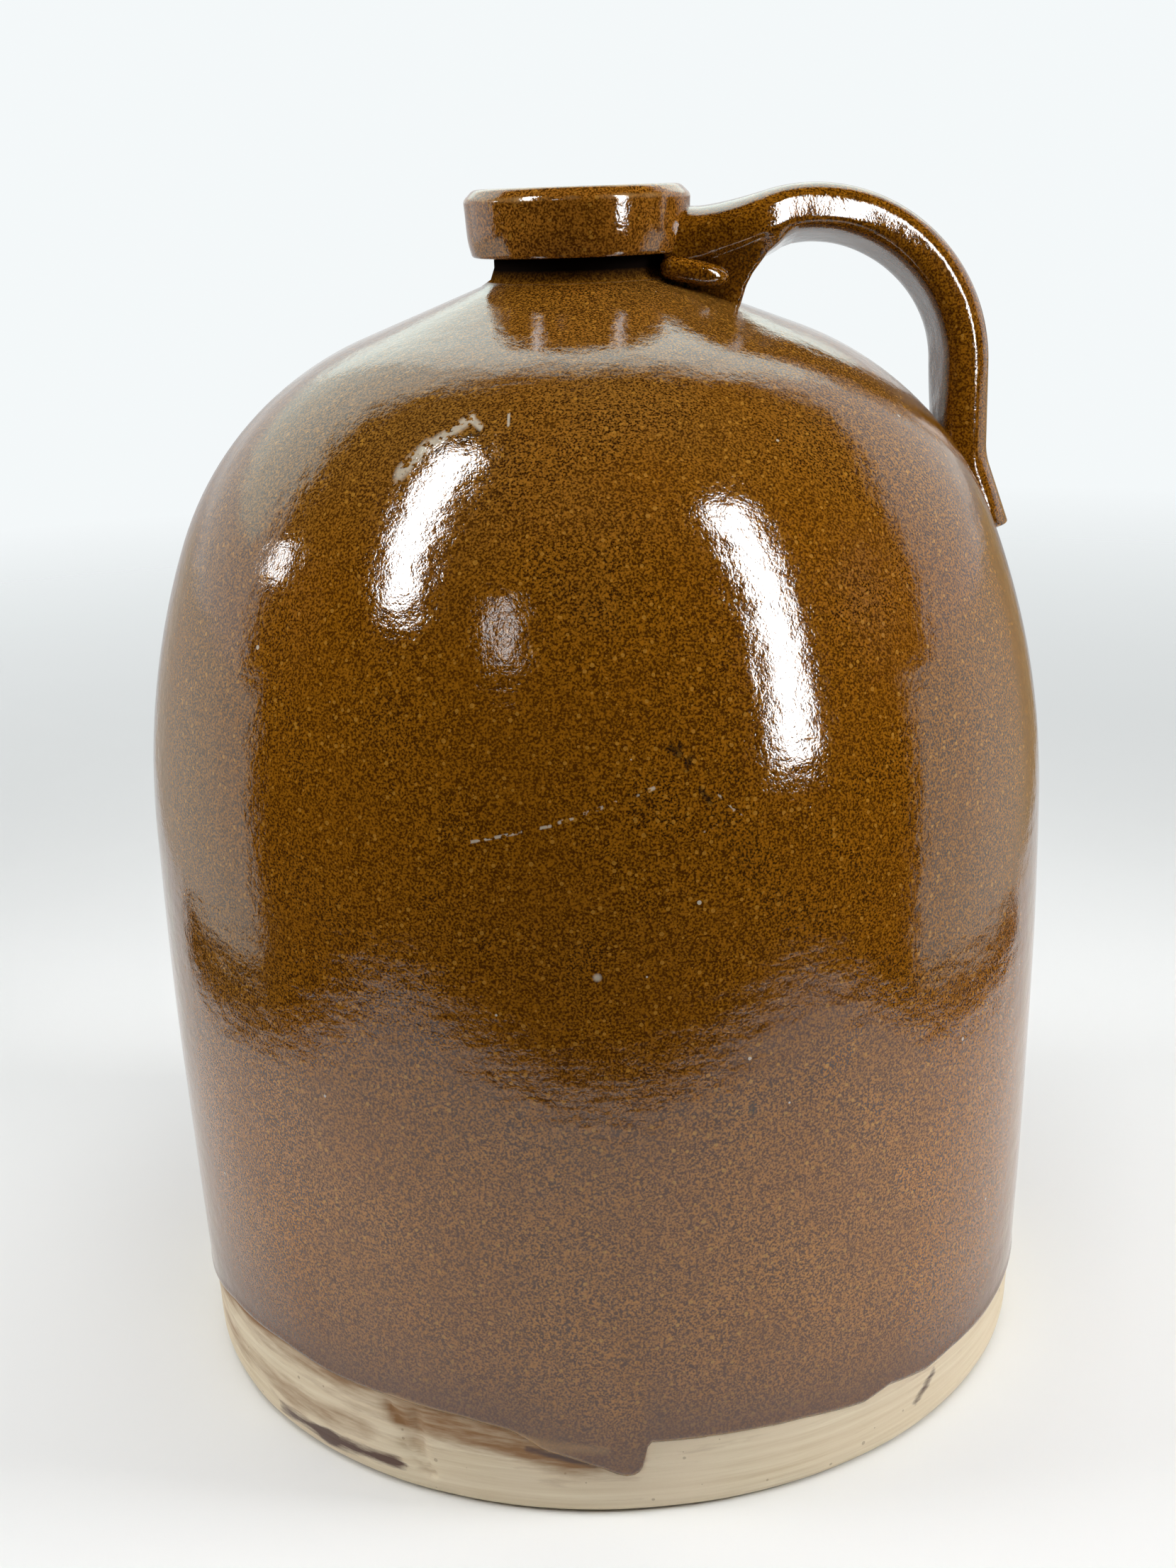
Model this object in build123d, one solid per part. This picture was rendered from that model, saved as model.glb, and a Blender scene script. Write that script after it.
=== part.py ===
from build123d import *
from math import cos, radians, sin, sqrt, tan
import os

# Driving dimensions, in millimetres and degrees. They are of the fired clay, apart from
# overall_height and mouth_bore_diameter, which are finished sizes over the coats.

# The two body sections
overall_height = 237.0         # floor to the top of the mouth
belly_diameter = 182.6         # the widest level
belly_height = 115.0           # the widest level's height, where the two sections are luted together
foot_diameter = 176.0          # just above the rounded foot edge
foot_edge_height = 4.0         # the rounded edge between the underside and the wall
foot_edge_inset = 2.6
shoulder_top_diameter = 86.0   # the dome runs out into a plain cone here
shoulder_top_drop = 27.8       # from the top of the mouth down to the same level
cone_angle = 21.0              # slope of the cone under the neck
neck_diameter = 32.2
neck_sweep_radius = 4.0        # hollow curve from the cone into the neck
body_wall = 7.0
floor_thickness = 9.0
inner_corner_radius = 14.0     # between the floor and the wall, inside

# The mouth collar
mouth_bore_diameter = 23.0
collar_top_diameter = 43.4
collar_foot_diameter = 42.0
collar_height = 11.8
collar_bevel = 2.0             # outer top edge
mouth_easing = 1.5             # inner top edge

# The strap handle and the wad of clay under its upper end
handle_top_drop = 1.0          # the arch stays this far below the top of the mouth
handle_rise_angle = 15.0       # slope of the strap where it leaves the collar
handle_arch_radius = 35.5      # outside of the arch
handle_bend_radius = 14.0      # hollow bend where the strap turns on to the shoulder
strap_thickness = 11.4
strap_width = 24.0
strap_edge_radius = 4.6
tail_end_drop = 70.0           # from the top of the mouth down to the tail's blunt end on the shoulder
tail_rise = 3.8                # how far the tail stands out of the shoulder
tail_kick = 4.9                # how far its end stands out beyond the strap's upright run
tail_end_radius = 2.2
wad_reach = 31.0               # from the jug's axis to the upright face of the wad
wad_width = 26.0
wad_web_height = 9.0           # the hollow web from the upright face to the strap
wad_web_run = 4.6
wad_edge_radius = 2.4

# The fired coats
outside_coat = 0.5
inside_coat = 0.5
coat_line_height = 18.0        # lower edge of the outside coat, at the jug's axis
coat_line_tilt = 3.4           # the edge drops towards the handle

# Sizes that follow from the driving dimensions
belly_radius = belly_diameter / 2
neck_radius = neck_diameter / 2
bore_radius = mouth_bore_diameter / 2
collar_top = overall_height - outside_coat
collar_foot = collar_top - collar_height
shoulder_top_height = overall_height - shoulder_top_drop
handle_top_height = overall_height - handle_top_drop
tail_end_height = overall_height - tail_end_drop
UP = Vector(0, 1)


def heading(angle):
    """Unit direction in the profile plane, counted from level towards the top."""
    return Vector(cos(radians(angle)), sin(radians(angle)))


def right_of(direction):
    return Vector(direction.Y, -direction.X)


def shifted(path, amount):
    """The same path, moved to its right by amount: arcs stay concentric and lines stay parallel."""
    return [(point + right_of(direction) * amount, direction) for point, direction in path]


def path_edges(path):
    """Lines and arcs through the path's points, each leaving its point along the point's direction."""
    edges = []
    for (start, direction), (end, _) in zip(path, path[1:]):
        straight = abs(right_of(direction).dot((end - start).normalized())) < 1e-6
        edges.append(Line(start, end) if straight else TangentArc(start, end, tangent=direction))
    return edges


def face_inside(edges):
    """Face inside a chain of edges, closed by a straight line from its end to its start."""
    return make_face([*edges, Line(edges[-1] @ 1, edges[0] @ 0)])


def turned(face):
    """Solid turned on the wheel from a profile of radius and height."""
    return revolve(Plane.XZ * face, axis=Axis.Z)


def biarc_joint(start, start_direction, end, end_direction):
    """Point and direction where two tangent arcs of equal reach meet between two directed points."""
    across = end - start
    spread = 2 * (1 - start_direction.dot(end_direction))
    along = across.dot(start_direction + end_direction)
    reach = (sqrt(along * along + spread * across.dot(across)) - along) / spread
    first = start + start_direction * reach
    second = end - end_direction * reach
    return (first + second) / 2, (second - first).normalized()


def body_path():
    """Outside of the clay body from the foot edge to the collar's seat, as directed points."""
    foot = Vector(foot_diameter / 2, foot_edge_height)
    belly = Vector(belly_radius, belly_height)
    flare = belly - foot
    wall_radius = flare.dot(flare) / (2 * flare.X)
    foot_direction = Vector(flare.Y, wall_radius - flare.X) / wall_radius
    cone = heading(180 - cone_angle)
    shoulder_top = Vector(shoulder_top_diameter / 2, shoulder_top_height)
    joint, joint_direction = biarc_joint(belly, UP, shoulder_top, cone)
    cone_rise = (shoulder_top.X - neck_radius) * tan(radians(cone_angle))
    neck_corner = Vector(neck_radius, shoulder_top.Y + cone_rise)
    sweep_reach = neck_sweep_radius * tan(radians((90 - cone_angle) / 2))
    return [
        (foot, foot_direction),
        (belly, UP),
        (joint, joint_direction),
        (shoulder_top, cone),
        (neck_corner - cone * sweep_reach, cone),
        (neck_corner + UP * sweep_reach, UP),
        (Vector(neck_radius, collar_foot), UP),
    ]


def body_solid(coat=0.0):
    """The whole body before it is hollowed, grown by a coat of the given thickness."""
    path = shifted(body_path(), coat)
    foot, foot_direction = path[0]
    under = Vector(foot.X - foot_edge_inset, 0)
    foot_edge = TangentArc(foot, under, tangent=foot_direction * -1)
    top = path[-1][0]
    outline = [*path_edges(path), Line(top, (0, top.Y)), Line((0, top.Y), (0, 0)), Line((0, 0), under), foot_edge]
    return turned(make_face(outline))


def hollow_solid(lining=0.0):
    """The space inside the clay, up to the collar's seat, drawn in by a lining of the given thickness."""
    wall_path = shifted(body_path()[:4], -(body_wall + lining))
    shoulder_top, cone = wall_path[-1]
    peak = Vector(0, shoulder_top.Y + shoulder_top.X * tan(radians(cone_angle)))
    edges = path_edges([*wall_path, (peak, cone)])
    foot = wall_path[0][0]
    space = face_inside([Line((0, foot.Y), foot), *edges])
    floor = floor_thickness + lining
    space -= Pos(0, floor) * Rectangle(4 * belly_radius, 2 * floor, align=(Align.CENTER, Align.MAX))
    chamber = turned(space)
    floor_edge = chamber.edges().group_by(Axis.Z)[0]
    chamber = fillet(floor_edge, inner_corner_radius - lining)
    throat_radius = bore_radius + inside_coat - lining
    throat = Cylinder(throat_radius, collar_foot - floor, align=(Align.CENTER, Align.CENTER, Align.MIN))
    return chamber + Pos(0, 0, floor) * throat


def collar_solid(coat=0.0):
    """The collar before it is bored, grown by a coat on its outside and its top."""
    foot_radius = collar_foot_diameter / 2 + coat
    top_radius = collar_top_diameter / 2 + coat
    top = collar_top + coat
    outline = Polyline(
        (0, collar_foot - coat),
        (foot_radius, collar_foot - coat),
        (top_radius, top - collar_bevel),
        (top_radius - collar_bevel, top),
        (0, top),
        close=True,
    )
    return turned(make_face(outline))


def mouth_solid():
    """The finished bore through the collar with its eased mouth, for cutting."""
    outline = Polyline(
        (0, collar_foot),
        (bore_radius, collar_foot),
        (bore_radius, overall_height - mouth_easing),
        (bore_radius + mouth_easing, overall_height),
        (0, overall_height),
        close=True,
    )
    return turned(make_face(outline))


def on_dome(height):
    """Point of the clay dome at a height below the cone, and its outward direction."""
    belly, joint, shoulder_top = body_path()[1:4]
    start, end = (belly, joint) if height < joint[0].Y else (joint, shoulder_top)
    inward = right_of(start[1]) * -1
    chord = end[0] - start[0]
    radius = chord.dot(chord) / (2 * chord.dot(inward))
    centre = start[0] + inward * radius
    lift = height - centre.Y
    out = Vector(sqrt(radius * radius - lift * lift), lift) / radius
    return centre + out * radius, out


def strap_path(coat=0.0):
    """Outside of the strap from inside the neck over the arch and down to the tail's end."""
    seat, out = on_dome(tail_end_height)
    down = right_of(out)
    tail_end = seat + out * tail_rise
    bend_corner = tail_end - down * (tail_kick / down.X)
    bend_reach = handle_bend_radius * down.X / (1 - down.Y)
    rise = heading(handle_rise_angle)
    centre = Vector(bend_corner.X - handle_arch_radius, handle_top_height - handle_arch_radius)
    crown = centre - right_of(rise) * handle_arch_radius
    root = crown - rise * (crown.X / rise.X)
    return [
        (root, rise),
        (crown, rise),
        (Vector(bend_corner.X, centre.Y), UP * -1),
        (bend_corner + UP * bend_reach, UP * -1),
        (bend_corner + down * bend_reach, down),
        (tail_end + down * coat, down),
    ]


def strap_solid(coat=0.0):
    """The bent strap before it is trimmed to the shoulder and the collar, grown by a coat."""
    spine = Plane.XZ * Wire(path_edges(shifted(strap_path(coat), strap_thickness / 2)))
    section = RectangleRounded(strap_width + 2 * coat, strap_thickness + 2 * coat, strap_edge_radius + coat)
    start = Plane(origin=spine @ 0, x_dir=(0, 1, 0), z_dir=spine % 0)
    strap = sweep(start * section, path=spine)
    tail_end = strap.faces().sort_by(Axis.Z)[0]
    return fillet(tail_end.edges(), tail_end_radius + coat)


def wad_solid(coat=0.0):
    """The wad before it is trimmed to the pieces round it, grown by a coat."""
    root, rise = shifted(strap_path(), strap_thickness - coat)[0]
    reach = wad_reach + coat
    slope = rise.Y / rise.X
    web_end = Vector(reach + wad_web_run, root.Y + (reach + wad_web_run - root.X) * slope)
    web_start = web_end - Vector(wad_web_run, wad_web_height)
    axis_top = Vector(0, root.Y - root.X * slope)
    axis_foot = Vector(0, shoulder_top_height)
    foot = Vector(reach, shoulder_top_height)
    web = TangentArc(web_start, web_end, tangent=UP)
    outline = [Line(axis_foot, foot), Line(foot, web_start), web, Line(web_end, axis_top)]
    wad = extrude(Plane.XZ * face_inside(outline), amount=wad_width / 2 + coat, both=True)
    upright_edges = wad.faces().filter_by(Axis.Y).edges().filter_by(Axis.Z).group_by(Axis.X)[-1]
    web_edges = wad.faces().filter_by(Axis.Y).edges().filter_by(GeomType.CIRCLE)
    return fillet(upright_edges + web_edges, wad_edge_radius + coat)


def above_coat_line(solid):
    """What is left of a coat above its tilted lower edge."""
    lean = heading(90 - coat_line_tilt)
    edge = Plane(origin=(0, 0, coat_line_height), z_dir=(lean.X, 0, lean.Y))
    return split(solid, bisect_by=edge, keep=Keep.TOP)


def build():
    """Every piece of the jug by its name."""
    body = body_solid()
    clay = body - hollow_solid()
    seam = Plane.XY.offset(belly_height)
    collar = collar_solid()
    handle = strap_solid() - body - collar
    wad = wad_solid() - body - collar - handle
    grown = body_solid(outside_coat) + collar_solid(outside_coat)
    grown = grown + strap_solid(outside_coat) + wad_solid(outside_coat)
    coat = grown - body - collar - handle - wad
    coat -= mouth_solid()
    return {
        "lower_body": split(clay, bisect_by=seam, keep=Keep.BOTTOM),
        "shoulder": split(clay, bisect_by=seam, keep=Keep.TOP),
        "mouth_collar": collar - mouth_solid(),
        "handle": handle,
        "handle_wad": wad,
        "outside_glaze": above_coat_line(coat),
        "inside_glaze": hollow_solid() - hollow_solid(inside_coat),
    }


os.makedirs("parts", exist_ok=True)
for name, piece in build().items():
    export_step(piece, f"parts/{name}.step")
    print(name, len(piece.solids()), round(piece.volume / 1000, 2), "cm3")
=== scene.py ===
# %% [markdown]
# A stoneware jug: a domed clay pot with a ring round its mouth and a strap for a handle.
# It was dipped upside down in brown glaze, and the foot that the potter held stayed bare clay.
# The solid model comes in first, because every surface below is laid on it.

# %% Load the solid model
import math
import bmesh
import bpy
import numpy as np
from mathutils import Matrix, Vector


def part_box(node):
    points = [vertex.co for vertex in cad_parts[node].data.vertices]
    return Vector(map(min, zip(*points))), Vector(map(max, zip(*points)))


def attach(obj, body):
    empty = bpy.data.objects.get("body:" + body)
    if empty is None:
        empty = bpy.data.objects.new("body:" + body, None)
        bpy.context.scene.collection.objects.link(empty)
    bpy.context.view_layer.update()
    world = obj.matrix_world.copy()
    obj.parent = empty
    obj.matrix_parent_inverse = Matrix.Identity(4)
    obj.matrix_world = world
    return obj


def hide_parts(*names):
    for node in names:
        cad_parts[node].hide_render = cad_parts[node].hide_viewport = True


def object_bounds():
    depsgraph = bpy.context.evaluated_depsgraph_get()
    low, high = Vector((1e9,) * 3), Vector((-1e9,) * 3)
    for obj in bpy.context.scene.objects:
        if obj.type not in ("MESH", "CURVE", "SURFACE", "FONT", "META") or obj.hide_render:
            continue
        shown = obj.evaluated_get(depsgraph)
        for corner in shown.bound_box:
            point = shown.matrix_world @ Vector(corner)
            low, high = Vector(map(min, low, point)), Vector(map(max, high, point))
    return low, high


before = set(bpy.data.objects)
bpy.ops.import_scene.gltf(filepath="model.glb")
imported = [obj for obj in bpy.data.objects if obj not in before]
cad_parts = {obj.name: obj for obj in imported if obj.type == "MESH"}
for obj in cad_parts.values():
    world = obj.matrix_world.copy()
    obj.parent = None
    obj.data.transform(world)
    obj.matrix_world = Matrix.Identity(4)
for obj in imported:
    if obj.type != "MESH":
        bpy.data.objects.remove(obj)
solid_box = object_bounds()
MM = 0.001
print("solid model, mm:", [round(c / MM, 1) for c in solid_box[1]])

# %% [markdown]
# The camera stands where the photographer stood: close, a little below the ring's top, looking
# down by 17 degrees. The focal length is given in pixels of the photo, which are turned into
# millimetres of a 36 mm sensor on the long side.

# %% Camera
photo_height_px = 2212
focal_px = 2700
camera_place = (0.0, -0.38859, 0.23538)
pitch_down, yaw, roll = (math.radians(a) for a in (17.109, -0.265, -2.020))


def add_object(name, data):
    """An object with this data, in the scene."""
    made = bpy.data.objects.new(name, data)
    bpy.context.scene.collection.objects.link(made)
    return made


camera_data = bpy.data.cameras.new("photo_camera")
camera_data.sensor_width = 36.0
camera_data.lens = camera_data.sensor_width * focal_px / photo_height_px
camera = add_object("photo_camera", camera_data)
camera.matrix_world = (
    Matrix.Translation(camera_place)
    @ Matrix.Rotation(-yaw, 4, "Z")
    @ Matrix.Rotation(math.pi / 2 - pitch_down, 4, "X")
    @ Matrix.Rotation(roll, 4, "Z")
)
bpy.context.scene.camera = camera
print("lens %.2f mm" % camera_data.lens)

# %% [markdown]
# Every new surface here is a grid of points: rows one way, columns the other. One helper
# turns such a grid into a mesh. Rows or columns that run round in a ring are joined end to
# end, and a row that has shrunk to a point, as at the middle of the foot, is welded to one.
# Numbers that a finish needs later, such as how near the glaze's edge is, ride along on the
# points as attributes.

# %% From a grid of points to a piece
weld_distance = 1e-7


def grid_faces(rows, columns, ring_rows, ring_columns):
    """Quads (i, j), (i, j+1), (i+1, j+1), (i+1, j), counted round where a ring closes."""
    i, j = np.meshgrid(np.arange(rows - (not ring_rows)), np.arange(columns - (not ring_columns)),
                       indexing="ij")
    below, above = i * columns, (i + 1) % rows * columns
    left, right = j, (j + 1) % columns
    corners = [below + left, below + right, above + right, above + left]
    return np.stack(corners, axis=-1).reshape(-1, 4)


def signed_volume(points, faces):
    """A sixth of the sum of a . (b x c) over both triangles of each quad: negative inside out."""
    a, b, c, d = (points[faces[:, k]] for k in range(4))
    return (np.einsum("ij,ij->", a, np.cross(b, c)) + np.einsum("ij,ij->", a, np.cross(c, d))) / 6


def mesh_object(name, points, faces, material, fields):
    """An object of these points and faces, with a float attribute for each field."""
    mesh = bpy.data.meshes.new(name)
    mesh.from_pydata(points.tolist(), [], faces.tolist())
    for field, values in fields.items():
        layer = mesh.attributes.new(field, "FLOAT", "POINT")
        layer.data.foreach_set("value", values.astype(np.float32).ravel())
    mesh.materials.append(material)
    return add_object(name, mesh)


def grid_piece(name, grid, material, nodes, ring_rows=False, weld=False, fields=None):
    """One closed skin from a grid in millimetres whose columns run round, with its faces outwards."""
    shape = grid.shape[:2]
    points = grid.reshape(-1, 3) * MM
    faces = grid_faces(*shape, ring_rows, True)
    if signed_volume(points, faces) < 0:
        faces = faces[:, ::-1]
    fields = {field: np.broadcast_to(values, shape) for field, values in (fields or {}).items()}
    piece = mesh_object(name, points, faces, material, fields)
    mesh = piece.data
    mesh.shade_smooth()
    if weld:
        work = bmesh.new()
        work.from_mesh(mesh)
        bmesh.ops.remove_doubles(work, verts=work.verts, dist=weld_distance)
        work.to_mesh(mesh)
        work.free()
    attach(piece, "root")
    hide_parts(*nodes)
    print(name, len(mesh.polygons), "faces")


# %% [markdown]
# Finishes are node trees. A small helper adds a node, sets its values, and links a value
# that is itself the output of another node. The rest are short names for common nodes.

# %% Node helpers
def set_inputs(tree, node, values):
    """Each value goes to its socket; one that is another node's output is linked to it."""
    for key, value in values.items():
        if isinstance(value, bpy.types.NodeSocket):
            tree.links.new(value, node.inputs[key])
        else:
            node.inputs[key].default_value = value


def add_node(tree, kind, values=None, **settings):
    """One node: settings are its own properties, values go to its sockets."""
    made = tree.nodes.new(kind)
    for key, value in settings.items():
        setattr(made, key, value)
    set_inputs(tree, made, values or {})
    return made


def math_node(tree, operation, a, b=0.0, clamp=False):
    """The output of one step of arithmetic or one comparison."""
    values = {0: a, 1: b}
    return add_node(tree, "ShaderNodeMath", values, operation=operation, use_clamp=clamp).outputs[0]


def remap(tree, value, low, high, to_low=0.0, to_high=1.0):
    """value stretched so that low becomes to_low and high becomes to_high, and held there."""
    values = {"Value": value, "From Min": low, "From Max": high, "To Min": to_low, "To Max": to_high}
    return add_node(tree, "ShaderNodeMapRange", values, clamp=True).outputs[0]


def object_place(tree):
    """Where a point lies in its object's own coordinates, in metres."""
    return tree.nodes.new("ShaderNodeTexCoord").outputs["Object"]


def noise_node(tree, place, scale, detail, roughness=0.5):
    """Cloudy noise, around 0.5."""
    values = {"Vector": place, "Scale": scale, "Detail": detail, "Roughness": roughness}
    return add_node(tree, "ShaderNodeTexNoise", values).outputs[0]

# %% [markdown]
# Both the glaze and the clay are full of small marks: a fine grain, broad clouds, and single
# specks a few millimetres apart. That is one node group with its sizes as inputs. Grain and
# clouds are noise at two scales. Specks are the middles of random cells, and only some cells
# have one.

# %% Grain, clouds and specks
def new_group(name, inputs, outputs):
    """A node group with these inputs, numbers or vectors, and these outputs; also what it is given."""
    tree = bpy.data.node_groups.new(name, "ShaderNodeTree")
    for socket, value in inputs.items():
        kind = "NodeSocketVector" if isinstance(value, tuple) else "NodeSocketFloat"
        tree.interface.new_socket(socket, in_out="INPUT", socket_type=kind).default_value = value
    for socket in outputs:
        tree.interface.new_socket(socket, in_out="OUTPUT", socket_type="NodeSocketFloat")
    return tree, tree.nodes.new("NodeGroupInput").outputs


def kiln_marks_group():
    """Noise at two scales, and cell middles kept where the cell's own random number is high."""
    inputs = {"Grain Scale": 2000.0, "Cloud Scale": 60.0, "Speck Scale": 300.0, "Speck Size": 0.1}
    tree, given = new_group("kiln_marks", inputs, ("Grain", "Cloud", "Speck"))
    place = object_place(tree)
    cells = add_node(tree, "ShaderNodeTexVoronoi", {"Vector": place, "Scale": given["Speck Scale"]})
    lot = add_node(tree, "ShaderNodeSeparateColor", {"Color": cells.outputs["Color"]}).outputs[0]
    reach = math_node(tree, "MULTIPLY", given["Speck Size"], remap(tree, lot, 0.55, 1.0))
    add_node(tree, "NodeGroupOutput", {
        "Grain": noise_node(tree, place, given["Grain Scale"], 2.0),
        "Cloud": noise_node(tree, place, given["Cloud Scale"], 4.0),
        "Speck": math_node(tree, "LESS_THAN", cells.outputs["Distance"], reach)})
    return tree


kiln_marks = kiln_marks_group()


def add_kiln_marks(tree, grain, cloud, speck, size):
    """The outputs of one such group, with its three scales and the size of its specks."""
    values = {"Grain Scale": grain, "Cloud Scale": cloud, "Speck Scale": speck, "Speck Size": size}
    return add_node(tree, "ShaderNodeGroup", values, node_tree=kiln_marks).outputs


print("group", kiln_marks.name, [s.name for s in kiln_marks.interface.items_tree])

# %% [markdown]
# Scratches, a scar, a painted shadow under the scar and a few spots are lines, long or very
# short, on the pot unrolled like a label, so they share one group: it measures how far a point
# is from a line between two places, each given as (azimuth in radians, height in metres), and
# noise breaks the line up.

# %% Lines on the unrolled pot
label_radius = 0.09  # metres


def vector_node(tree, operation, a, b=(0, 0, 0)):
    """The same for vectors; a length, a distance or a dot product is a number."""
    made = add_node(tree, "ShaderNodeVectorMath", {0: a, 1: b}, operation=operation)
    number = operation in ("LENGTH", "DISTANCE", "DOT_PRODUCT")
    return made.outputs["Value" if number else "Vector"]


def line_mark_group():
    """1 on the line and 0 beyond Width: the distance from the point to the nearest place on the
    line, whose share along it is held between 0 and 1; kept only where a fine noise is above Breaks."""
    inputs = {"Start": (0, 0, 0), "End": (0, 0, 0), "Width": 0.0005, "Breaks": 0.5}
    tree, given = new_group("line_mark", inputs, ("Mark",))
    place = object_place(tree)
    part = add_node(tree, "ShaderNodeSeparateXYZ", {0: place}).outputs
    azimuth = math_node(tree, "ARCTAN2", part["Y"], part["X"])
    point = add_node(tree, "ShaderNodeCombineXYZ", {0: azimuth, 1: part["Z"]}).outputs[0]
    point, start, end = (vector_node(tree, "MULTIPLY", v, (label_radius, 1.0, 0.0))
                         for v in (point, given["Start"], given["End"]))
    along = vector_node(tree, "SUBTRACT", end, start)
    offset = vector_node(tree, "SUBTRACT", point, start)
    reach = vector_node(tree, "DOT_PRODUCT", offset, along)
    whole = math_node(tree, "MAXIMUM", vector_node(tree, "DOT_PRODUCT", along, along), 1e-9)
    share = math_node(tree, "DIVIDE", reach, whole, clamp=True)
    gap = vector_node(tree, "DISTANCE", offset, vector_node(tree, "MULTIPLY", along, share))
    near = remap(tree, math_node(tree, "DIVIDE", gap, given["Width"]), 0.4, 1.0, 1.0, 0.0)
    noise = noise_node(tree, place, 700.0, 3.0)
    kept = remap(tree, math_node(tree, "SUBTRACT", noise, given["Breaks"]), -0.02, 0.04)
    add_node(tree, "NodeGroupOutput", {"Mark": math_node(tree, "MULTIPLY", near, kept)})
    return tree


line_mark = line_mark_group()


def add_line_mark(tree, start, end, width, breaks):
    """The mask of one line; start and end are (azimuth in degrees, height in mm), width is in mm."""
    start, end = ((math.radians(turn), height * MM, 0) for turn, height in (start, end))
    values = {"Start": start, "End": end, "Width": width * MM, "Breaks": breaks}
    return add_node(tree, "ShaderNodeGroup", values, node_tree=line_mark).outputs["Mark"]


print("group", line_mark.name)

# %% [markdown]
# A finish is a colour with layers painted over it, and a normal with bumps laid on it. How
# much of a layer shows can come from an attribute on the piece's points.

# %% Layers and bumps
def new_material(name):
    """A material with a Principled BSDF on its output, its tree and that shader."""
    material = bpy.data.materials.new(name)
    material.use_nodes = True
    tree = material.node_tree
    return material, tree, tree.nodes["Principled BSDF"]


def read_field(tree, name):
    """An attribute of the piece's points; it is 0 where the piece has none of that name."""
    return add_node(tree, "ShaderNodeAttribute", attribute_name=name).outputs["Fac"]


def moved_place(tree, place, **values):
    """The place after a Mapping node with this Location or Scale."""
    return add_node(tree, "ShaderNodeMapping", {"Vector": place, **values}).outputs[0]


def blend(tree, amount, under, over, how="MIX"):
    """under where amount is 0, over where it is 1; the colour sockets of a Mix node are 6 and 7."""
    values = {0: amount, 6: under, 7: over}
    return add_node(tree, "ShaderNodeMix", values, data_type="RGBA", blend_type=how).outputs[2]


def paint_over(tree, colour, layers):
    """The colour under layers laid one over another, each (amount, its colour)."""
    for amount, over in layers:
        colour = blend(tree, amount, colour, over)
    return colour


def bump_normal(tree, *layers):
    """The normal after bumps laid one on another, each (height, distance, strength)."""
    bump = {}
    for height, distance, strength in layers:
        bump.update({"Height": height, "Distance": distance, "Strength": strength})
        bump["Normal"] = add_node(tree, "ShaderNodeBump", bump).outputs["Normal"]
    return bump["Normal"]

# %% [markdown]
# The glaze is an iron brown, salted with dark and tan grains a third of a millimetre wide. It
# is glossy, but its skin has a faint orange peel and level throwing lines, which fray the
# edges of the highlights. It drifts to olive at random, and high up and towards the left its
# olive grey is painted reflection haze. The lower third is redder. Towards its lower edge it
# ran thick and turned a purple brown; the very edge is thin and amber. Attributes on the
# pieces say where: "olive" for the painted haze, "low_tone", "near_line", "thin_film", and
# "groove", where painted shade makes the glaze nearly black and matt under the ring.

# %% Brown glaze
dark_grain, dark_grain_low = (0.046, 0.0138, 0.0007, 1), (0.068, 0.0235, 0.0026, 1)
tan_grain, tan_grain_low = (0.305, 0.116, 0.0060, 1), (0.43, 0.172, 0.023, 1)
cloud_brown = (0.17, 0.054, 0.0020, 1)
# Multiplied in, it turns the glaze olive grey: a random drift, and painted reflection haze high up and on the left.
olive_drift_and_haze = (0.99, 1.2, 3.6, 1)
gold_fleck, pale_pit = (0.48, 0.23, 0.03, 1), (0.55, 0.50, 0.40, 1)
thick_purple, thin_amber = (0.095, 0.037, 0.017, 1), (0.34, 0.19, 0.065, 1)
# Painted shade: the glaze in the groove under the ring is made nearly black.
painted_groove_shade = (0.006, 0.004, 0.003, 1)
# The dark one colours the spots and the painted shadow under the scar.
scar_pale, spot_dark_and_scar_shadow = (0.62, 0.56, 0.44, 1), (0.012, 0.007, 0.004, 1)
# Each line is its start, its end, its width and how broken it is, as add_line_mark takes them.
pale_lines = [((-105, 133), (-95, 136.4), 0.35, 0.54), ((-94, 137), (-84, 142), 0.4, 0.54),
              ((-80, 133), (-75.5, 137), 0.3, 0.56), ((-77, 140), (-74, 135), 0.3, 0.55),
              ((-117, 191.4), (-114.6, 194.8), 2.0, 0.44),
              ((-114.6, 194.9), (-108.6, 199.5), 1.35, 0.43),
              ((-108.6, 199.5), (-106.4, 198.2), 0.7, 0.4),
              ((-102.4, 200.6), (-102, 198.6), 0.45, 0.44), ((-90.6, 110), (-90.6, 110), 0.9, 0.2)]
# Dark spots, and the third line: painted shadow along the lower side of the scar.
dark_spots_and_scar_shadow = [((-81.5, 148.5), (-80, 145.5), 1.9, 0.48), ((-74, 83.5), (-74, 82.5), 0.9, 0.42),
              ((-112.6, 194.4), (-106.6, 197.4), 0.8, 0.46), ((-79, 141), (-78, 139), 0.8, 0.5)]


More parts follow.
